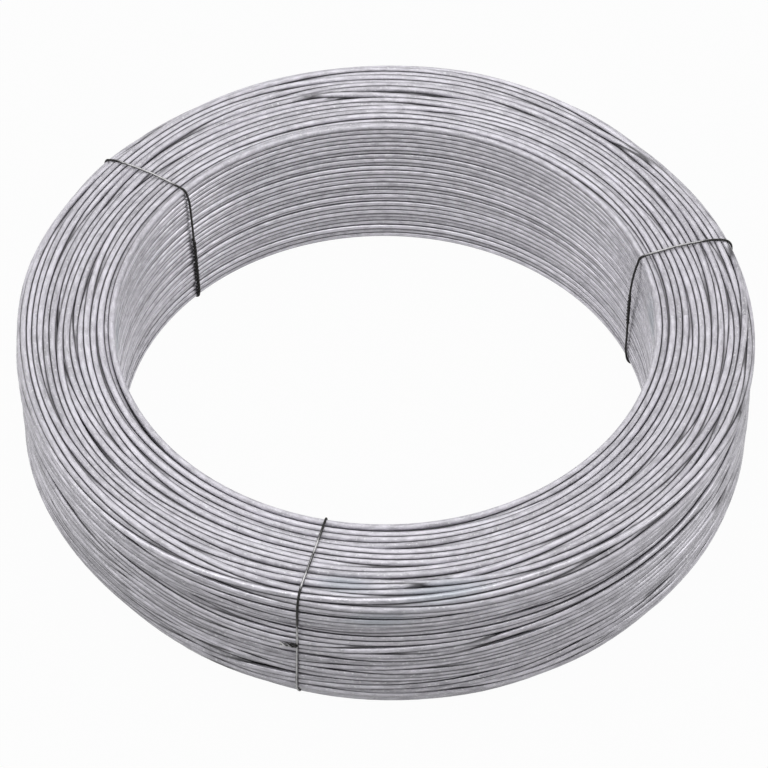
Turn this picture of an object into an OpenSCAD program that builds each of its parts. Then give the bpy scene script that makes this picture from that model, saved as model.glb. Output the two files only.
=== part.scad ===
// Coil of galvanised wire, lying flat on three binding ties.
// The turned coil shows its turns on the bore, both ends and the outer side.

/* [Wire] */
// Diameter of the coiled wire
wire_d = 3; // [2:0.1:5]
// How much closer than its own diameter a turn may lie to the next, as staggered turns do
turn_nest = 0.1; // [0.05:0.05:0.5]

/* [Coil] */
// Bore diameter, over the crowns of the innermost turns
bore_d = 258; // [180:1:400]
// Thickness of the wound wire from the bore to the outer side, over the crowns
coil_wall = 48; // [36:1:90]
// Height of the coil over the crowns of its turns
coil_h = 80; // [60:1:120]
// Radius of the upper outer shoulder, over the crowns
shoulder_top_r = 6; // [4:0.5:20]
// Radius of the lower outer shoulder, where the turns slump, over the crowns
shoulder_bottom_r = 14; // [5:0.5:30]
// How far the winding drum pressed the innermost crowns flat
drum_flat = 0.05; // [0.02:0.01:0.1]

/* [Ties] */
// Diameter of the binding wire
tie_d = 1; // [0.6:0.1:1.6]
// Air between a tie and the crowns of the turns it crosses
tie_seat = 0.1; // [0.05:0.05:0.3]
// Direction of the first tie, counted from +X towards +Y
tie_angle = 18; // [0:1:100]
// Thickness of the front tie's twisted end, which lies flat on the outer side
tail_d = 2; // [1.2:0.1:3.2]
// Length of that twisted end
tail_len = 7; // [4:0.5:15]
// How far below the upper shoulder the twisted end leaves the tie
tail_drop = 27; // [4:0.5:40]

/* [Hidden] */
$fn = 64;

tie_step = 360 / 3;
turn_pitch = wire_d - turn_nest;
coil_z = tie_d + tie_seat;

// Outline through the centres of the outside turns, in the section plane
in_r = bore_d / 2 + wire_d / 2;
coil_r = bore_d / 2 + coil_wall;
out_r = coil_r - wire_d / 2;
low_z = coil_z + wire_d / 2;
top_z = coil_z + coil_h - wire_d / 2;
top_bend = shoulder_top_r - wire_d / 2;
bottom_bend = shoulder_bottom_r - wire_d / 2;

// Lengths of the outline's stretches, from the bore's lower corner round the outside
bottom_run = out_r - in_r - bottom_bend;
bottom_arc = PI / 2 * bottom_bend;
side_run = top_z - low_z - top_bend - bottom_bend;
top_arc = PI / 2 * top_bend;
top_run = out_r - in_r - top_bend;
at_side = bottom_run + bottom_arc;
at_shoulder = at_side + side_run;
at_top = at_shoulder + top_arc;
outside_len = at_top + top_run;

bore_steps = ceil((top_z - low_z) / turn_pitch);
outside_steps = ceil(outside_len / turn_pitch);

// A point of the outline at the distance s from the bore's lower corner
function low_bend_at(a) = [out_r - bottom_bend + bottom_bend * sin(a), low_z + bottom_bend - bottom_bend * cos(a)];
function top_bend_at(a) = [out_r - top_bend + top_bend * cos(a), top_z - top_bend + top_bend * sin(a)];
function outside_at(s) =
    s < bottom_run ? [in_r + s, low_z] :
    s < at_side ? low_bend_at(90 * (s - bottom_run) / bottom_arc) :
    s < at_shoulder ? [out_r, low_z + bottom_bend + (s - at_side)] :
    s < at_top ? top_bend_at(90 * (s - at_shoulder) / top_arc) :
    [out_r - top_bend - (s - at_top), top_z];

outside_turns = [for (i = [1 : outside_steps - 1]) outside_at(i * outside_len / outside_steps)];
bore_turns = [for (i = [0 : bore_steps]) [in_r - drum_flat, top_z - i * (top_z - low_z) / bore_steps]];
turns = concat(outside_turns, bore_turns);

// The round sections of a row of turns
module turn_row(centres) {
    for (p = centres) {
        translate(p) circle(d = wire_d);
    }
}

module coil_section() {
    intersection() {
        union() {
            union() {
                polygon(turns);
                turn_row(bore_turns);
            }
            turn_row(outside_turns);
        }
        translate([bore_d / 2, 0]) square([coil_r, coil_z + coil_h + wire_d]);
    }
}

module wire_coil() {
    color("#a5a2a9") rotate_extrude($fn = 180) coil_section();
}

// A stretch of tie from the point p, running the length len at the angle a in the section plane
module tie_run(p, len, a) {
    translate(p) rotate([0, 0, a]) rotate([0, 90, 0]) cylinder(d = tie_d, h = len);
}

// A quarter bend of tie about the point p, from the angle a on
module tie_bend(p, bend, a) {
    translate(p) rotate([0, 0, a]) rotate_extrude(angle = 90) translate([bend, 0]) circle(d = tie_d);
}

// One closed tie round the section, drawn flat
module tie_loop() {
    lift = wire_d / 2 + tie_seat + tie_d / 2;
    top_bend_p = [out_r - top_bend, top_z - top_bend];
    low_bend_p = [out_r - bottom_bend, low_z + bottom_bend];
    union() {
        tie_run([in_r, top_z + lift], top_run, 0);
        tie_bend(top_bend_p, top_bend + lift, 0);
        tie_run([out_r + lift, low_bend_p[1]], side_run, 90);
        tie_bend(low_bend_p, bottom_bend + lift, 270);
        tie_run([in_r, low_z - lift], bottom_run, 0);
        tie_bend([in_r, low_z], lift, 180);
        tie_run([in_r - lift, low_z], top_z - low_z, 90);
        tie_bend([in_r, top_z], lift, 90);
    }
}

// The twisted end of a tie, bent over to lie along the outermost turns
module tie_tail() {
    tail_r = coil_r + 2 * tie_seat + tail_d / 2;
    translate([tail_r, top_z - top_bend - tail_drop, -tie_d]) cylinder(d = tail_d, h = tie_d + tail_len);
}

// Stands what was drawn flat up at the place of the tie n
module tie_place(n) {
    color("#8f8c90") rotate([0, 0, tie_angle + n * tie_step]) rotate([90, 0, 0]) children();
}

module tie_wire_right() {
    tie_place(0) tie_loop();
}

module tie_wire_left() {
    tie_place(1) tie_loop();
}

module tie_wire_front() {
    tie_place(2) union() {
        tie_loop();
        tie_tail();
    }
}

wire_coil();
tie_wire_right();
tie_wire_left();
tie_wire_front();
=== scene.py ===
import math

import bpy
import numpy as np
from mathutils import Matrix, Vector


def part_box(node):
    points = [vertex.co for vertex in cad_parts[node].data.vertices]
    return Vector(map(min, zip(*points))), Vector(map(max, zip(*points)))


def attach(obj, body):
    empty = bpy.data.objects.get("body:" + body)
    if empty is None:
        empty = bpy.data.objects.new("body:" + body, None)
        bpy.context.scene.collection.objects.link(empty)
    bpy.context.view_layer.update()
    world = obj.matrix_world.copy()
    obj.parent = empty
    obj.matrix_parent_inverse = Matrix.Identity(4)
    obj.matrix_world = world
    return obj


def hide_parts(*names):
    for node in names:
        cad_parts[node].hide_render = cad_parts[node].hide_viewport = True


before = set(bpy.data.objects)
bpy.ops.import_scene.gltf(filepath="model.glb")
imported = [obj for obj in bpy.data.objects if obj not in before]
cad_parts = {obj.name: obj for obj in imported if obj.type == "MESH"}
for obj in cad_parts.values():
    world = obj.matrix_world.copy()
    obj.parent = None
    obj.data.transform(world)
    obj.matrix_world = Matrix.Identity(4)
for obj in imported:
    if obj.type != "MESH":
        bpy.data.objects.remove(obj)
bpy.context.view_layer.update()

# The winding: one long steel wire, drawn round, dipped in zinc and wound on a drum in some four
# hundred turns. The turns near the outside are laid in rows under the coil's outline, and then
# settle against each other at many sections, so they lie, cross and part as wound wire does.
WIRE_D = 0.0030
WIRE_R = WIRE_D / 2
BORE_R = 0.1290
COIL_LOW, COIL_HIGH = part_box("wire_coil")
COIL_R = COIL_HIGH[0]
# Radius of the upper and of the lower outer shoulder in millimetres, at directions in degrees.
SHOULDER_AT = [(0, 6), (25, 7.5), (42, 9), (60, 5.5), (75, 4.2), (150, 4.2), (180, 5), (220, 6), (300, 6)]
SLUMP_AT = [(0, 13), (90, 12), (165, 12), (190, 14.5), (225, 19), (262, 15), (285, 13), (320, 15.5)]
# The turns on the bore: how far they stand back from the drum, how far they sway up and down, and
# how near the other turns come.
BORE_TURNS = 28
BORE_STAGGER = 0.0005
BORE_SWAY = 0.00018
BORE_ROW_GAP = 0.85 * WIRE_D
INNER_ROW_START = 0.9 * WIRE_D
# Rows from the outside inwards, with the spacing and the drift of their turns in wire diameters.
# The last row only backs the others. A turn drifts least at the bore's upper rim.
ROW_STEP = 0.86 * WIRE_D
ROW_SPACING = (0.91, 1.25, 1.05, 1.0)
DRIFT = (1.0, 0.9, 0.5, 0.0)
SINK_SHARE = 0.5
RIM_FREEDOM = 0.06
RIM_REACH = 0.03
LEAST_BEND = 0.001
CROWN_DROP = 0.0006
# How the turns settle: sections round the ring, rounds, and how hard a bend springs back.
SECTIONS = 144
SETTLE_ROUNDS = 240
LIST_EVERY = 10
NEIGHBOUR_REACH = 1.4 * WIRE_D
PUSH = 0.35
STIFFNESS = 0.05
SHORT_WAVES = 6
# The groove round the outer side, by direction in degrees and height in millimetres.
GROOVE_DEPTH = 0.0030
GROOVE_WIDTH = 0.0045
GROOVE_AT = [(0, 60), (60, 52), (120, 50), (190, 50), (230, 53), (260, 56), (300, 60), (340, 62)]
# The flatter place on the outer side, with its direction and width in degrees.
FLAT_DEPTH = 0.0028
FLAT_AT = 222
FLAT_WIDTH = 24
FLAT_TOP = 0.060
FLAT_FADE = 0.03

in_r, out_r = BORE_R + WIRE_R, COIL_R - WIRE_R
low_z, top_z = COIL_LOW[2] + WIRE_R, COIL_HIGH[2] - WIRE_R
chance = np.random.default_rng(41)
around = np.linspace(0, 2 * math.pi, SECTIONS, endpoint=False)[:, None]
slump = np.interp(np.degrees(around), *np.array(SLUMP_AT).T, period=360) / 1000
shoulder = np.interp(np.degrees(around), *np.array(SHOULDER_AT).T, period=360) / 1000
bend_top, bend_low = shoulder - WIRE_R, slump - WIRE_R


def wander(count, waves, fall):
    """One smooth closed random curve round the ring for each turn, about 1 high."""
    order = np.arange(1, waves + 1)
    size = chance.normal(size=(waves, count)) / order[:, None] ** fall
    start = chance.uniform(0, 2 * math.pi, (waves, count))
    curve = (size * np.cos(order[:, None] * around[:, None] + start)).sum(1)
    return curve / np.sqrt((0.5 / order ** (2 * fall)).sum())


def side_inset(z):
    """How far the outer side draws in: the long groove below the shoulder, and one flatter place."""
    angle, height = np.array(GROOVE_AT).T
    groove_z = np.interp(np.degrees(around), angle, height / 1000, period=360)
    groove = GROOVE_DEPTH * np.exp(-(((z - groove_z) / GROOVE_WIDTH) ** 2))
    away = np.degrees(around) - FLAT_AT
    flat = FLAT_DEPTH * np.exp(-((away / FLAT_WIDTH) ** 2)) * np.clip((FLAT_TOP - z) / FLAT_FADE, 0, 1)
    return groove + flat


def keep_in(p, drop=0):
    """Brings turns that stand out of the coil's outline, less a drop of their own, back to it."""
    far = out_r - side_inset(p[..., 1]) - drop
    top = top_z - drop
    r, z = np.minimum(p[..., 0], far), np.clip(p[..., 1], low_z, top)
    for up, bend, end in ((1, bend_top, top), (-1, bend_low, low_z)):
        dr, dz = r - (far - bend), up * (z - end) + bend
        out = np.hypot(dr, dz)
        scale = np.where((dr > 0) & (dz > 0) & (out > bend), bend / np.maximum(out, 1e-9), 1)
        r = np.where(scale < 1, far - bend + dr * scale, r)
        z = np.where(scale < 1, end + up * (dz * scale - bend), z)
    return np.stack([np.maximum(r, in_r + BORE_ROW_GAP), z], -1)


def settle(p, loose, drop):
    """Pushes apart turns that overlap, section by section, and keeps each a smooth springy wire."""
    sections, count = p.shape[:2]
    free = np.tile(loose, sections)
    waves = np.arange(sections // 2 + 1)[:, None, None]
    spring = 1 / (1 + STIFFNESS * (waves / SHORT_WAVES) ** 4)
    for round_number in range(SETTLE_ROUNDS):
        if round_number % LIST_EVERY == 0:
            pairs = []
            for m in range(sections):
                apart = p[m][:, None] - p[m][None]
                near = np.triu((apart**2).sum(-1) < NEIGHBOUR_REACH**2, 1)
                pairs.append(np.argwhere(near) + m * count)
            a, b = np.concatenate(pairs).T
        flat = p.reshape(-1, 2)
        step = flat[a] - flat[b]
        length = np.hypot(step[:, 0], step[:, 1]) + 1e-9
        push = step * (PUSH * np.clip(WIRE_D - length, 0, None) / length)[:, None]
        for k in (0, 1):
            total = np.bincount(a, push[:, k], len(flat)) - np.bincount(b, push[:, k], len(flat))
            flat[:, k] += free * total
        p = flat.reshape(sections, count, 2)
        p = np.fft.irfft(np.fft.rfft(p, axis=0) * spring, sections, axis=0)
        p = np.where(loose[:, None] > 0, keep_in(p, drop), p)
    return p


def row_path(depth):
    """Distance, place and inward normal along a row of turns at this depth below the outside ones,
    from the bore's upper corner over the top and down the outer side to the lower corner."""
    near = in_r + (INNER_ROW_START if depth else 0)
    far, low, top = out_r - depth, low_z + depth, top_z - depth
    up, down = (max(bend.min() - depth, LEAST_BEND) for bend in (bend_top, bend_low))
    s, c = np.sin(np.linspace(0, math.pi / 2, 17)), np.cos(np.linspace(0, math.pi / 2, 17))
    r = np.concatenate([[near], far - up + up * s, far - down + down * c, [near]])
    z = np.concatenate([[top], top - up + up * c, low + down - down * s, [low]])
    inward = -np.concatenate([[0], s, c, [0]]), -np.concatenate([[1], c, -s, [-1]])
    return np.concatenate([[0], np.cumsum(np.hypot(np.diff(r), np.diff(z)))]), r, z, inward


bore = np.stack([np.full(BORE_TURNS, in_r), np.linspace(low_z, top_z, BORE_TURNS)], -1)
turns, layer = [np.tile(bore, (SECTIONS, 1, 1))], [np.full(BORE_TURNS, -1)]
for depth, spacing in enumerate(ROW_SPACING):
    length, r, z, inward = row_path(depth * ROW_STEP)
    count = round(length[-1] / (spacing * WIRE_D)) - 1
    rest = np.linspace(0, length[-1], count + 2)[1:-1]
    freedom = np.clip(rest / RIM_REACH, RIM_FREEDOM, 1)
    drift = DRIFT[depth] * WIRE_D * freedom
    run = rest + drift * wander(count, 2, 0.2)
    sink = SINK_SHARE * DRIFT[depth] * WIRE_D * wander(count, 3, 0.3) * freedom
    r, z = (np.interp(run, length, v) + sink * np.interp(run, length, n) for v, n in zip((r, z), inward))
    turns.append(np.stack([r, z], -1))
    layer.append(np.full(count, depth))
turns, layer = np.concatenate(turns, 1), np.concatenate(layer)
in_sight = (layer >= 0) & (layer < len(ROW_SPACING) - 1)
loose = in_sight.astype(float)
sunk = CROWN_DROP * np.abs(wander(len(layer), 4, 0.3))
turns[:, :BORE_TURNS, 0] += BORE_STAGGER * np.abs(wander(BORE_TURNS, 4, 0.2))
turns[:, 1:BORE_TURNS - 1, 1] += BORE_SWAY * wander(BORE_TURNS - 2, 4, 0.2)
turns = settle(np.where(loose[:, None] > 0, keep_in(turns, sunk), turns), loose, sunk)


def below_crowns(r, z):
    """How far a point of a turn lies below the surface that the outermost crowns make."""
    flat_z = z.reshape(len(z), -1)
    far = COIL_R - side_inset(flat_z).reshape(z.shape)
    deep = np.minimum(np.minimum(COIL_HIGH[2] - z, z - COIL_LOW[2]), np.minimum(far - r, r - BORE_R))
    for up, bend, end in ((1, shoulder[..., None], COIL_HIGH[2]), (-1, slump[..., None], COIL_LOW[2])):
        dr, dz = r - (far - bend), up * (z - end) + bend
        deep = np.where((dr > 0) & (dz > 0), bend - np.hypot(dr, dz), deep)
    return np.clip(deep, 0, None)


# Painted blue-grey reflection patches, and a real stain: direction in degrees, radius and height in
# millimetres, then the width in degrees and the height in millimetres of each.
BLUE_REFLECTION_PATCHES = [
    (5, 129, 65, 6, 14),
    (180, 129, 62, 7, 16),
    (269, 177, 70, 6, 6),
    (263.5, 165, 81, 5, 6),
    (279, 170, 81, 8, 8),
]
STAINS = [(256.2, 177, 77, 0.8, 5)]
CREASE = 0.0008
VALLEY_FROM, VALLEY_TO = 0.0015, 0.0055
PAINTED_GLINT = (0.90, 0.90, 0.92)
BLUE_REFLECTION_GREY = (0.36, 0.41, 0.46)
UNDERSIDE_SHADE = (0.14, 0.135, 0.155)
STAIN_OLIVE = (0.20, 0.20, 0.17)
VALLEY_SHADE = (0.030, 0.028, 0.032)
CREASE_SHADE = (0.020, 0.018, 0.022)


def patch(r, z, places):
    """Soft patches on the turns, each at a direction, radius and height, so wide and so high."""
    total = np.zeros(r.shape)
    for turn, reach, level, wide, high in places:
        away = (np.degrees(around)[..., None] - turn + 180) % 360 - 180
        off = (away / wide) ** 2 + ((r * 1000 - reach) / high) ** 2 + ((z * 1000 - level) / high) ** 2
        total = total + np.exp(-off)
    return np.clip(total, 0, 1)


def crevice(chosen, r, z):
    """How near a point of a turn is to the skin of the next turn: nothing where two turns touch."""
    near = np.full(r.shape, WIRE_D)
    for m in range(SECTIONS):
        gap = np.hypot(r[m][..., None] - turns[m, :, 0], z[m][..., None] - turns[m, :, 1])
        gap[np.arange(len(chosen)), :, chosen] = 1
        near[m] = gap.min(-1) - WIRE_R
    return np.clip(near, 0, WIRE_D)


def tube_rings(name, chosen, sides):
    """One mesh of closed round turns, each with its run and its number in the UV map wire_run."""
    chosen = np.flatnonzero(chosen)
    places = turns[:, chosen]
    steps, count = places.shape[:2]
    turn = np.linspace(0, 2 * math.pi, sides, endpoint=False)
    r = places[..., 0:1] + WIRE_R * np.cos(turn)
    z = places[..., 1:2] + WIRE_R * np.sin(turn)
    angle = around[..., None]
    corners = np.stack([r * np.cos(angle), r * np.sin(angle), z], -1).reshape(-1, 3)
    j, w, k = np.meshgrid(np.arange(steps), np.arange(count), np.arange(sides), indexing="ij")
    far, up = (j + 1) % steps, (k + 1) % sides
    order = [(j, w, k), (far, w, k), (far, w, up), (j, w, up)]
    faces = np.stack([(a * count + b) * sides + c for a, b, c in order], -1).reshape(-1, 4)
    mesh = bpy.data.meshes.new(name)
    mesh.from_pydata(corners.tolist(), [], faces.tolist())
    run = 2 * math.pi * COIL_R / steps
    shift = chance.uniform(0, 10, count)[None, :, None]
    along = [shift + j * run, shift + (j + 1) * run, shift + (j + 1) * run, shift + j * run]
    across = [w + k / sides, w + k / sides, w + (k + 1) / sides, w + (k + 1) / sides]
    spread = np.stack([np.stack(along, -1), np.stack(across, -1)], -1)
    mesh.uv_layers.new(name="wire_run").data.foreach_set("uv", spread.ravel())
    depth = below_crowns(r, z)
    marks = {
        "crevice": np.maximum(crevice(chosen, r, z), CREASE - depth),
        "valley": depth,
        "upward": np.broadcast_to(np.sin(turn), r.shape),
        "blue_reflection": patch(r, z, BLUE_REFLECTION_PATCHES),
        "stain": patch(r, z, STAINS),
    }
    for mark, values in marks.items():
        mesh.attributes.new(mark, "FLOAT", "POINT").data.foreach_set("value", values.ravel())
    mesh.shade_smooth()
    piece = bpy.data.objects.new(name, mesh)
    bpy.context.collection.objects.link(piece)
    return piece


def zinc_finish(name, metal, rough, dull, bright, underside_shade):
    """Weathered zinc: tone from wire to wire, mottles and streaks along the wire, painted glints, painted
    blue-grey reflection patches, painted shade on the undersides, and painted shade between the turns."""
    finish = bpy.data.materials.new(name)
    finish.use_nodes = True
    tree = finish.node_tree
    shader = tree.nodes["Principled BSDF"]
    shader.inputs["Metallic"].default_value = metal
    shader.inputs["Specular IOR Level"].default_value = 0.8

    def add(kind, **values):
        node = tree.nodes.new(kind)
        for key, value in values.items():
            setattr(node, key, value)
        return node

    def feed(node, **values):
        for key, value in values.items():
            node.inputs[key.replace("_", " ")].default_value = value
        return node

    def join(a, b):
        tree.links.new(a, b)

    run = add("ShaderNodeUVMap", uv_map="wire_run")
    split = add("ShaderNodeSeparateXYZ")
    join(run.outputs["UV"], split.inputs[0])
    number = add("ShaderNodeMath", operation="FLOOR")
    join(split.outputs["Y"], number.inputs[0])
    tone = add("ShaderNodeTexWhiteNoise", noise_dimensions="1D")
    join(number.outputs[0], tone.inputs["W"])

    def streak(along, across, detail):
        scale = feed(add("ShaderNodeMapping"), Scale=(along, across, 1))
        join(run.outputs["UV"], scale.inputs["Vector"])
        noise = feed(add("ShaderNodeTexNoise"), Scale=1.0, Detail=detail)
        join(scale.outputs[0], noise.inputs["Vector"])
        return noise.outputs["Fac"]

    def mark(trait, low, high, most):
        read = add("ShaderNodeAttribute", attribute_name=trait)
        level = add("ShaderNodeMapRange", interpolation_type="SMOOTHSTEP")
        feed(level, From_Min=low, From_Max=high, To_Max=most)
        join(read.outputs["Fac"], level.inputs["Value"])
        return level.outputs["Result"]

    def tint(below, amount, colour):
        mixed = add("ShaderNodeMix", data_type="RGBA")
        mixed.inputs["B"].default_value = (*colour, 1)
        join(amount, mixed.inputs["Factor"])
        join(below, mixed.inputs["A"])
        return mixed.outputs["Result"]

    long_streak, mottle, fine = streak(18, 3, 4), streak(130, 5, 3), streak(600, 8, 2)
    shade = 0
    for source, share in ((tone.outputs["Value"], 0.12), (long_streak, 0.33), (mottle, 0.55)):
        sum_up = add("ShaderNodeMath", operation="MULTIPLY_ADD")
        sum_up.inputs[1].default_value = share
        join(source, sum_up.inputs[0])
        if shade:
            join(shade, sum_up.inputs[2])
        else:
            sum_up.inputs[2].default_value = 0
        shade = sum_up.outputs[0]
    colour = add("ShaderNodeValToRGB")
    colour.color_ramp.elements[0].position = 0.36
    colour.color_ramp.elements[0].color = (*dull, 1)
    colour.color_ramp.elements[1].position = 0.64
    colour.color_ramp.elements[1].color = (*bright, 1)
    join(shade, colour.inputs["Fac"])
    # Painted glints: small bright specks on the fine noise, standing in for specular flecks.
    glint = feed(add("ShaderNodeMapRange"), From_Min=0.57, From_Max=0.70, To_Max=0.7)
    join(fine, glint.inputs["Value"])
    look = tint(colour.outputs["Color"], glint.outputs["Result"], PAINTED_GLINT)
    # Painted reflection: blue-grey patches that stand in for bluish reflections on the zinc.
    look = tint(look, mark("blue_reflection", 0.2, 1.0, 0.60), BLUE_REFLECTION_GREY)
    # Painted shade: the undersides of the turns, facing down, are darkened as if out of the light.
    look = tint(look, mark("upward", 0.35, -0.65, underside_shade), UNDERSIDE_SHADE)
    look = tint(look, mark("stain", 0.2, 1.0, 0.75), STAIN_OLIVE)
    # Painted shade: turns and parts of turns that lie below the outermost crowns are darkened.
    look = tint(look, mark("valley", VALLEY_FROM, VALLEY_TO, 0.85), VALLEY_SHADE)
    # Painted shade: darkened where a turn comes near the skin of the next, in the crevices between turns.
    look = tint(look, mark("crevice", CREASE, 0.25 * CREASE, 0.90), CREASE_SHADE)
    join(look, shader.inputs["Base Color"])
    sheen = feed(add("ShaderNodeMapRange"), To_Min=rough - 0.08, To_Max=rough + 0.10)
    join(long_streak, sheen.inputs["Value"])
    join(sheen.outputs["Result"], shader.inputs["Roughness"])
    lines = feed(add("ShaderNodeBump"), Strength=0.25, Distance=0.0001)
    join(fine, lines.inputs["Height"])
    join(lines.outputs["Normal"], shader.inputs["Normal"])
    return finish


def dress(piece, finish, node="wire_coil"):
    """Gives a piece its finish, hangs it on the root body, and hides the solid it stands for."""
    piece.data.materials.append(finish)
    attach(piece, "root")
    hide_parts(node)


# Three copies of one zinc with painted light: the bore's is painted brighter as a highlight, the outer
# side's has a darker dull tone as shade, and the ends stay matt. Bore and side carry more painted underside
# shade.
end_zinc = zinc_finish(
    "end zinc",
    metal=0.10,
    rough=0.45,
    dull=(0.400, 0.388, 0.424),
    bright=(0.855, 0.830, 0.905),
    underside_shade=0.45,
)
side_zinc = zinc_finish(
    "side zinc",
    metal=0.30,
    rough=0.26,
    dull=(0.350, 0.340, 0.372),
    bright=(0.820, 0.796, 0.868),
    underside_shade=0.80,
)
bore_zinc = zinc_finish(
    "bore zinc",
    metal=0.38,
    rough=0.25,
    dull=(0.450, 0.438, 0.478),
    bright=(0.950, 0.922, 1.000),
    underside_shade=0.80,
)
height, reach = turns[..., 1].mean(0), turns[..., 0].mean(0)
side = np.argmin([top_z - height, out_r - reach, height - low_z], 0)
rim = np.arange(len(layer)) == BORE_TURNS - 1
dress(tube_rings("bore_turns", (layer < 0) & ~rim, 16), bore_zinc)
dress(tube_rings("top_turns", (in_sight & (side == 0)) | rim, 10), end_zinc)
dress(tube_rings("side_turns", in_sight & (side == 1), 10), side_zinc)
dress(tube_rings("bottom_turns", in_sight & (side == 2), 8), end_zinc)

# The core: what lies deeper than the turns in sight, the same wire in the dark, made as one ring.
# Seen only through the gaps between turns, where it stops the light. Its near-black colour is painted shade.
CORE_DEPTH = 2.6 * WIRE_D
CORE_LOW_BEVEL = 0.012
CORE_TOP_BEVEL = 0.004
core_r, core_low, core_top = COIL_R - CORE_DEPTH, low_z + CORE_DEPTH, top_z - CORE_DEPTH
CORE_SECTION = [
    (BORE_R + WIRE_D, core_low),
    (core_r - CORE_LOW_BEVEL, core_low),
    (core_r, core_low + CORE_LOW_BEVEL),
    (core_r, core_top - CORE_TOP_BEVEL),
    (core_r - CORE_TOP_BEVEL, core_top),
    (BORE_R + WIRE_D, core_top),
]
bpy.ops.object.select_all(action="DESELECT")
bpy.ops.mesh.primitive_circle_add(vertices=len(CORE_SECTION))
core = bpy.context.object
core.name = "coil_core"
for vertex, (r, z) in zip(core.data.vertices, CORE_SECTION):
    vertex.co = (r, 0, z)
bpy.ops.object.mode_set(mode="EDIT")
bpy.ops.mesh.select_all(action="SELECT")
bpy.ops.mesh.spin(steps=96, angle=2 * math.pi, center=(0, 0, 0), axis=(0, 0, 1))
bpy.ops.mesh.select_all(action="SELECT")
bpy.ops.mesh.remove_doubles(threshold=0.00001)
bpy.ops.mesh.normals_make_consistent(inside=False)
bpy.ops.object.mode_set(mode="OBJECT")
core_dark = bpy.data.materials.new("shaded core")
core_dark.use_nodes = True
tree = core_dark.node_tree
shader = tree.nodes["Principled BSDF"]
shader.inputs["Roughness"].default_value = 0.8
place = tree.nodes.new("ShaderNodeTexCoord")
shade_noise = tree.nodes.new("ShaderNodeTexNoise")
shade_noise.inputs["Scale"].default_value = 240
shades = tree.nodes.new("ShaderNodeValToRGB")
shades.color_ramp.elements[0].color = (0.015, 0.014, 0.016, 1)
shades.color_ramp.elements[1].color = (0.050, 0.048, 0.052, 1)
tree.links.new(place.outputs["Object"], shade_noise.inputs["Vector"])
tree.links.new(shade_noise.outputs["Fac"], shades.inputs["Fac"])
tree.links.new(shades.outputs["Color"], shader.inputs["Base Color"])
dress(core, core_dark)

# The ties: three soft steel wires about a millimetre thick, bent round the coil by hand, drawn
# tight and twisted shut. They lie on the turns they bind, and the coil rests on them.
TIE_D = 0.0011
TIE_SEAT = 0.00005
TIE_LIFT = WIRE_R + TIE_SEAT + TIE_D / 2
TWIST_PITCH = 0.0052
# Painted shade along a tie's edges, standing in for dark reflections and contact shadow.
EDGE_SHADE = 0.6
EDGE_FROM, EDGE_FADE = 0.95, 0.4
HEART = np.array([(in_r + out_r) / 2, (low_z + top_z) / 2])


def by_stage(stage, marks):
    """A value that changes along a tie, given at some of its stages. After stage 4 it starts again."""
    return np.interp(stage, *np.array(marks).T, period=4)


def drawn_tight(turn, r, z):
    """Brings a tie's points, each at its own direction, to the turns that it is drawn tight over."""
    section = np.round(turn / (2 * math.pi) * SECTIONS).astype(int) % SECTIONS
    a = np.linspace(0, 2 * math.pi, 721)
    facing = np.stack([np.cos(a), np.sin(a)], -1)
    tight = np.stack([r, z], -1)
    for m in np.unique(section):
        ring = turns[m][np.argmax(facing @ turns[m].T, 1)] + TIE_LIFT * facing
        run = np.concatenate([[0], np.cumsum(np.hypot(*np.diff(ring, axis=0).T))])
        even = np.linspace(0, run[-1], 2000)
        rim_r, rim_z = (np.interp(even, run, ring[:, k]) - HEART[k] for k in (0, 1))
        rim_turn, rim_reach = np.arctan2(rim_z, rim_r), np.hypot(rim_r, rim_z)
        away_r, away_z = (tight[section == m] - HEART).T
        away_turn = np.arctan2(away_z, away_r)
        reach = np.interp(away_turn, rim_turn, rim_reach, period=2 * math.pi)
        tight[section == m] = HEART + np.stack([reach * np.cos(away_turn), reach * np.sin(away_turn)], -1)
    return tight.T


def straight(start, end, points):
    """A straight run in the section plane."""
    return tuple(np.linspace(a, b, points) for a, b in zip(start, end))


def quarter(r, z, bend, start):
    """A quarter bend in the section plane, clockwise from the angle start."""
    a = np.radians(np.linspace(start, start - 90, 9))
    return r + bend * np.cos(a), z + bend * np.sin(a)


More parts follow.
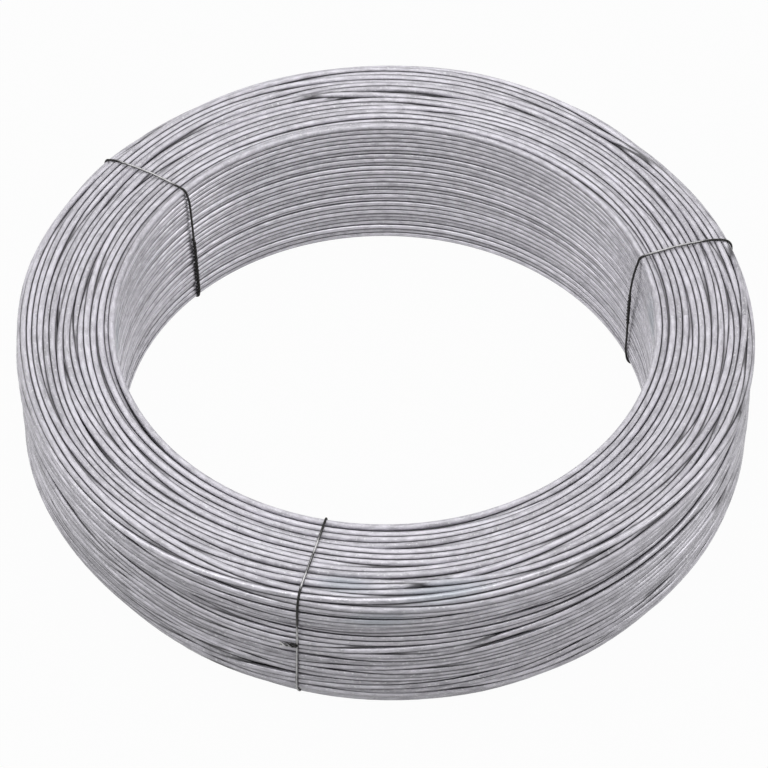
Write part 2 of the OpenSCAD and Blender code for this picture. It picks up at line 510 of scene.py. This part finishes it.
def tie_route(bearings, bulge):
    """Stages and points of a tie round the section, from the upper rim of the bore outwards. A stage
    counts the corners passed, bearings give directions in degrees, and the tie bulges into the bore."""
    turn = np.radians(by_stage(0.99, bearings))
    top_bend, low_bend = (np.interp(turn, around[:, 0], bend[:, 0]) for bend in (bend_top, bend_low))
    over, under, outside, inside = top_z + TIE_LIFT, low_z - TIE_LIFT, out_r + TIE_LIFT, in_r - TIE_LIFT
    top_r, top_end = out_r - top_bend, top_z - top_bend
    low_r, low_end = out_r - low_bend, low_z + low_bend
    runs = [
        (*straight((in_r, over), (top_r, over), 40), 0.02, 0.95),
        (*quarter(top_r, top_end, TIE_LIFT + top_bend, 90), 0.95, 1.05),
        (*straight((outside, top_end), (outside, low_end), 50), 1.05, 1.85),
        (*quarter(low_r, low_end, TIE_LIFT + low_bend, 0), 1.85, 2.15),
        (*straight((low_r, under), (in_r, under), 30), 2.15, 2.98),
        (*quarter(in_r, low_z, TIE_LIFT, 270), 2.98, 3.02),
        (*straight((inside, low_z), (inside, top_z), 70), 3.02, 3.98),
        (*quarter(in_r, top_z, TIE_LIFT, 180), 3.98, 4.02),
    ]
    r = np.concatenate([run[0][:-1] for run in runs])
    z = np.concatenate([run[1][:-1] for run in runs])
    stage = np.concatenate([np.linspace(a, b, len(run))[:-1] for run, _, a, b in runs])
    turn = np.radians(by_stage(stage, bearings))
    r, z = drawn_tight(turn, r, z)
    r = r - bulge * np.sin(math.pi * np.clip(stage - 3, 0, 1) ** 2)
    points = np.stack([r * np.cos(turn), r * np.sin(turn), z], -1)
    for _ in range(3):
        points = (np.roll(points, 1, 0) + 2 * points + np.roll(points, -1, 0)) / 4
    return stage, points


def twisted(points, start, reach):
    """The same run of wire wound round its own line, reach away from it."""
    step = np.gradient(points, axis=0)
    length = np.concatenate([[0], np.cumsum(np.linalg.norm(np.diff(points, axis=0), axis=1))])
    line = step / np.linalg.norm(step, axis=1)[:, None]
    out = points * (1, 1, 0)
    out = out - (out * line).sum(1)[:, None] * line
    out = out / np.linalg.norm(out, axis=1)[:, None]
    beside = np.cross(line, out)
    turn = (start + 2 * math.pi * length / TWIST_PITCH)[:, None]
    return points + np.reshape(reach, (-1, 1)) * (np.cos(turn) * out + np.sin(turn) * beside)


def tie_finish():
    """Drawn steel with a thin zinc coat, silver where it is bright and nearly black where tarnish and
    painted shade lie thick.
    """
    finish = bpy.data.materials.new("tie steel")
    finish.use_nodes = True
    tree = finish.node_tree
    shader = tree.nodes["Principled BSDF"]
    shader.inputs["Metallic"].default_value = 0.6
    tarnish_and_shade = tree.nodes.new("ShaderNodeAttribute")
    tarnish_and_shade.attribute_name = "tarnish_and_shade"
    place = tree.nodes.new("ShaderNodeTexCoord")
    blotch = tree.nodes.new("ShaderNodeTexNoise")
    blotch.inputs["Scale"].default_value = 420
    blotch.inputs["Detail"].default_value = 3
    tree.links.new(place.outputs["Object"], blotch.inputs["Vector"])
    level = tree.nodes.new("ShaderNodeMath")
    level.operation = "MULTIPLY_ADD"
    level.inputs[1].default_value = 0.5
    tree.links.new(blotch.outputs["Fac"], level.inputs[0])
    tree.links.new(tarnish_and_shade.outputs["Fac"], level.inputs[2])
    shades = tree.nodes.new("ShaderNodeValToRGB")
    shades.color_ramp.elements[0].position = 0.28
    shades.color_ramp.elements[0].color = (0.68, 0.67, 0.68, 1)
    shades.color_ramp.elements[1].position = 1.0
    shades.color_ramp.elements[1].color = (0.022, 0.021, 0.020, 1)
    tree.links.new(level.outputs[0], shades.inputs["Fac"])
    tree.links.new(shades.outputs["Color"], shader.inputs["Base Color"])
    sheen = tree.nodes.new("ShaderNodeMapRange")
    sheen.inputs["To Min"].default_value = 0.34
    sheen.inputs["To Max"].default_value = 0.62
    tree.links.new(level.outputs[0], sheen.inputs["Value"])
    tree.links.new(sheen.outputs["Result"], shader.inputs["Roughness"])
    pits = tree.nodes.new("ShaderNodeBump")
    pits.inputs["Strength"].default_value = 0.3
    pits.inputs["Distance"].default_value = 0.0001
    tree.links.new(blotch.outputs["Fac"], pits.inputs["Height"])
    tree.links.new(pits.outputs["Normal"], shader.inputs["Normal"])
    return finish


tie_steel = tie_finish()


def facing_out(points):
    """The direction away from the middle of the coil's section, square to a strand at its points."""
    along = np.gradient(points, axis=0)
    along = along / np.linalg.norm(along, axis=1)[:, None]
    level = points * (1, 1, 0)
    heart = level * (HEART[0] / np.linalg.norm(level, axis=1))[:, None] + (0, 0, HEART[1])
    out = points - heart
    out = out - (out * along).sum(1)[:, None] * along
    return out / np.linalg.norm(out, axis=1)[:, None]


def tie_piece(name, node, strands):
    """One tie from its strands: points, tarnish and painted shade along them, and whether the strand closes.
    The crown stays bright, and painted shade darkens the edges."""
    bend = bpy.data.curves.new(name, "CURVE")
    bend.dimensions = "3D"
    bend.bevel_depth = TIE_D / 2
    bend.bevel_resolution = 2
    bend.use_fill_caps = True
    for points, _, closed in strands:
        run = bend.splines.new("POLY")
        run.points.add(len(points) - 1)
        run.points.foreach_set("co", np.c_[points, np.ones(len(points))].ravel())
        run.use_cyclic_u = closed
    bpy.ops.object.select_all(action="DESELECT")
    piece = bpy.data.objects.new(name, bend)
    bpy.context.collection.objects.link(piece)
    bpy.context.view_layer.objects.active = piece
    piece.select_set(True)
    bpy.ops.object.convert(target="MESH")
    bpy.ops.object.mode_set(mode="EDIT")
    bpy.ops.mesh.select_all(action="SELECT")
    bpy.ops.mesh.normals_make_consistent(inside=False)
    bpy.ops.object.mode_set(mode="OBJECT")
    piece = bpy.context.object
    corners = np.array([vertex.co for vertex in piece.data.vertices])
    line = np.concatenate([points for points, _, _ in strands])
    dark = np.concatenate([tarnish_and_shade for _, tarnish_and_shade, _ in strands])
    out = np.concatenate([facing_out(points) for points, _, _ in strands])
    near = np.array([np.argmin(((line - corner) ** 2).sum(1)) for corner in corners])
    crown = ((corners - line[near]) * out[near]).sum(1) / (TIE_D / 2)
    shade = dark[near] + EDGE_SHADE * np.clip((EDGE_FROM - crown) / EDGE_FADE, 0, 1)
    piece.data.attributes.new("tarnish_and_shade", "FLOAT", "POINT").data.foreach_set("value", shade)
    piece.data.shade_smooth()
    dress(piece, tie_steel, node)


def twist_shut(stage, loop, dark, twist, reach):
    """The strands of a tie whose two ends are wound round each other between the stages of a twist."""
    wound = reach * np.interp(stage, twist, [0, 1, 1, 0])
    beside = (stage > twist[0]) & (stage < twist[-1])
    second = twisted(loop, math.pi, np.full(len(loop), reach))[beside]
    return [(twisted(loop, 0, wound), dark, True), (second, dark[beside], False)]


# The front tie ends on the outer side, where its twisted ends are cut short and pressed flat.
# It touches the bore all the way up, and is bright in places on the top and down the side.
# Its dark places are partly tarnish and partly painted shade.
FRONT_BEARINGS = [(0, 258), (0.95, 257.2), (1.4, 257), (1.85, 256.7), (2.3, 256.7), (3, 258)]
FRONT_TARNISH_AND_SHADE = [
    (0, 0.9), (0.14, 0.75), (0.26, 0.5), (0.33, 0.1), (0.45, 0.1), (0.52, 0.45), (0.72, 0.4),
    (0.80, 0.1), (0.93, 0.15), (0.985, 0.85), (1.2, 0.6), (1.28, 0.1), (1.9, 0.2), (3, 0.6),
]
STUB_FROM, STUB_TO = 257, 254.5
STUB_Z = 0.0476
STUB_STANDOFF, STUB_LIFT = 0.0008, 0.0006
STUB_TWIST = 0.00060
STUB_POINTS = 24
stage, loop = tie_route(FRONT_BEARINGS, 0.0)
dark = by_stage(stage, FRONT_TARNISH_AND_SHADE)
on_side = np.abs(stage - 1.45) <= 0.4
beside = np.argmin(np.abs(loop[:, 2] - STUB_Z) + ~on_side)
turn = np.radians(np.linspace(STUB_FROM, STUB_TO, STUB_POINTS))
reach = np.hypot(*loop[beside, :2]) + STUB_STANDOFF + STUB_LIFT * np.linspace(0, 1, STUB_POINTS)
stub = np.stack([reach * np.cos(turn), reach * np.sin(turn), np.full(STUB_POINTS, STUB_Z)], -1)
stub_dark = np.linspace(0.8, -0.2, STUB_POINTS)
pair = [(twisted(stub, begin, np.full(STUB_POINTS, STUB_TWIST)), stub_dark, False) for begin in (0, math.pi)]
tie_piece("tie_front", "tie_wire_front", [(loop, dark, True), *pair])

# The left tie is twisted shut on the bore, from the middle of it down to the foot.
# Its top is bright along the crown, and black where it bends over the two rims and on the bore,
# partly tarnish and partly painted shade.
LEFT_BEARINGS = [
    (0, 139.9), (0.21, 140.1), (0.46, 140.6), (0.69, 141.4), (0.95, 142.3), (2, 141), (3, 137.5),
    (3.32, 138.1), (3.62, 138.7), (3.9, 139.2),
]
LEFT_TARNISH_AND_SHADE = [
    (0, 0.95), (0.08, 0.6), (0.2, 0.1), (0.5, 0.1), (0.8, 0.2), (0.93, 0.8), (1.05, 0.9), (2, 0.6),
    (3, 0.95), (3.6, 0.9), (3.95, 0.95),
]
LEFT_BULGE = 0.0006
LEFT_TWIST = (3.0, 3.04, 3.5, 3.56)
LEFT_TWIST_REACH = 0.00065
stage, loop = tie_route(LEFT_BEARINGS, LEFT_BULGE)
dark = by_stage(stage, LEFT_TARNISH_AND_SHADE)
tie_piece("tie_left", "tie_wire_left", twist_shut(stage, loop, dark, LEFT_TWIST, LEFT_TWIST_REACH))

# The right tie has a short twist half way down the bore, and its foot hooks under the coil.
# It hangs a little free of the bore, and is dark there and at its outer end, partly tarnish and partly
# painted shade.
RIGHT_BEARINGS = [
    (0, 16.9), (0.17, 17.3), (0.45, 17.6), (0.77, 17.4), (0.97, 17.1), (2, 17.5), (2.9, 18), (2.98, 18.6),
    (3.02, 19.8), (3.07, 20.5), (3.36, 19.6), (3.68, 18.2), (3.97, 16.8),
]
RIGHT_TARNISH_AND_SHADE = [
    (0, 0.85), (0.06, 0.4), (0.15, 0.05), (0.45, 0.1), (0.75, 0.2), (0.9, 0.8), (1.05, 0.9), (2, 0.6),
    (3, 0.9), (3.6, 0.95), (3.97, 0.9),
]
RIGHT_BULGE = 0.0020
RIGHT_TWIST = (3.33, 3.37, 3.6, 3.64)
RIGHT_TWIST_REACH = 0.00045
stage, loop = tie_route(RIGHT_BEARINGS, RIGHT_BULGE)
dark = by_stage(stage, RIGHT_TARNISH_AND_SHADE)
tie_piece("tie_right", "tie_wire_right", twist_shut(stage, loop, dark, RIGHT_TWIST, RIGHT_TWIST_REACH))

# The floor: a plain white sheet under the coil. It glows in the rays that show the background,
# and a small matt share keeps the soft shadow.
FLOOR_WIDTH = 6.0
FLOOR_DROP = 0.0002
FLOOR_GLOW = 0.97
FLOOR_GREY = 0.4


def white_in_sight(tree):
    """1 for the rays that show the background: the camera's, and those mirrored or let through."""
    rays = tree.nodes.new("ShaderNodeLightPath")
    first, both = tree.nodes.new("ShaderNodeMath"), tree.nodes.new("ShaderNodeMath")
    first.operation = both.operation = "MAXIMUM"
    tree.links.new(rays.outputs["Is Camera Ray"], first.inputs[0])
    tree.links.new(rays.outputs["Is Glossy Ray"], first.inputs[1])
    tree.links.new(first.outputs[0], both.inputs[0])
    tree.links.new(rays.outputs["Is Transmission Ray"], both.inputs[1])
    return both.outputs[0]


bpy.ops.object.select_all(action="DESELECT")
bpy.ops.mesh.primitive_plane_add(size=FLOOR_WIDTH, location=(0, 0, -FLOOR_DROP))
floor = bpy.context.object
floor.name = "studio_floor"
paper = bpy.data.materials.new("white paper")
paper.use_nodes = True
tree = paper.node_tree
diffuse = tree.nodes["Principled BSDF"]
diffuse.inputs["Base Color"].default_value = (FLOOR_GREY, FLOOR_GREY, FLOOR_GREY, 1)
diffuse.inputs["Roughness"].default_value = 1.0
diffuse.inputs["Specular IOR Level"].default_value = 0.0
glow = tree.nodes.new("ShaderNodeEmission")
glow.inputs["Strength"].default_value = 1.0
share = tree.nodes.new("ShaderNodeMath")
share.operation = "MULTIPLY"
share.inputs[1].default_value = FLOOR_GLOW
tree.links.new(white_in_sight(tree), share.inputs[0])
blend = tree.nodes.new("ShaderNodeMixShader")
tree.links.new(share.outputs[0], blend.inputs["Fac"])
tree.links.new(diffuse.outputs["BSDF"], blend.inputs[1])
tree.links.new(glow.outputs["Emission"], blend.inputs[2])
tree.links.new(blend.outputs["Shader"], tree.nodes["Material Output"].inputs["Surface"])
floor.data.materials.append(paper)

# The light: an even white room with one broad soft lamp over the coil, and two weak ones beside
# it that reach into the bore and along the outer side.
ROOM_LIGHT = 0.15
LAMP_AIM = (0, 0, 0.04)
world = bpy.data.worlds.new("white room")
bpy.context.scene.world = world
world.use_nodes = True
room = world.node_tree.nodes["Background"]
room.inputs["Color"].default_value = (1, 1, 1, 1)
level = world.node_tree.nodes.new("ShaderNodeMapRange")
level.inputs["To Min"].default_value = ROOM_LIGHT
level.inputs["To Max"].default_value = 1.0
world.node_tree.links.new(white_in_sight(world.node_tree), level.inputs["Value"])
world.node_tree.links.new(level.outputs["Result"], room.inputs["Strength"])


def soft_lamp(name, place, width, power):
    """A square lamp that looks at the coil's middle."""
    lamp = bpy.data.lights.new(name, "AREA")
    lamp.size = width
    lamp.energy = power
    fitting = bpy.data.objects.new(name, lamp)
    fitting.location = place
    away = np.array(place) - np.array(LAMP_AIM)
    fitting.rotation_euler = (
        math.atan2(math.hypot(away[0], away[1]), away[2]),
        0,
        math.atan2(away[0], -away[1]),
    )
    bpy.context.collection.objects.link(fitting)


soft_lamp("key lamp", (-0.12, 0.0, 1.2), 1.5, 12)
soft_lamp("right lamp", (1.6, -0.2, 0.7), 1.0, 5.5)
soft_lamp("left lamp", (-1.6, -0.1, 0.7), 1.0, 3.4)

# The camera: a long lens from the front, as high as the photograph's. Its reach, tilt and aim are
# fitted to the coil's outline there.
CAMERA_TILT = math.radians(48.15)
CAMERA_REACH = 1.727
CAMERA_LENS = 166.5
CAMERA_SENSOR = 36
AIM_LEFT, AIM_DOWN = 0.00062, 0.00647
middle = np.array([0, 0, (COIL_LOW[2] + COIL_HIGH[2]) / 2])
back = np.array([0, -math.cos(CAMERA_TILT), math.sin(CAMERA_TILT)])
upward = np.array([0, math.sin(CAMERA_TILT), math.cos(CAMERA_TILT)])
aim = middle - np.array([AIM_LEFT, 0, 0]) - AIM_DOWN * upward
view = bpy.data.cameras.new("camera")
view.lens = CAMERA_LENS
view.sensor_width = CAMERA_SENSOR
camera = bpy.data.objects.new("camera", view)
camera.location = aim + CAMERA_REACH * back
camera.rotation_euler = (math.pi / 2 - CAMERA_TILT, 0, 0)
bpy.context.collection.objects.link(camera)
bpy.context.scene.camera = camera
bpy.context.scene.view_settings.view_transform = "Standard"
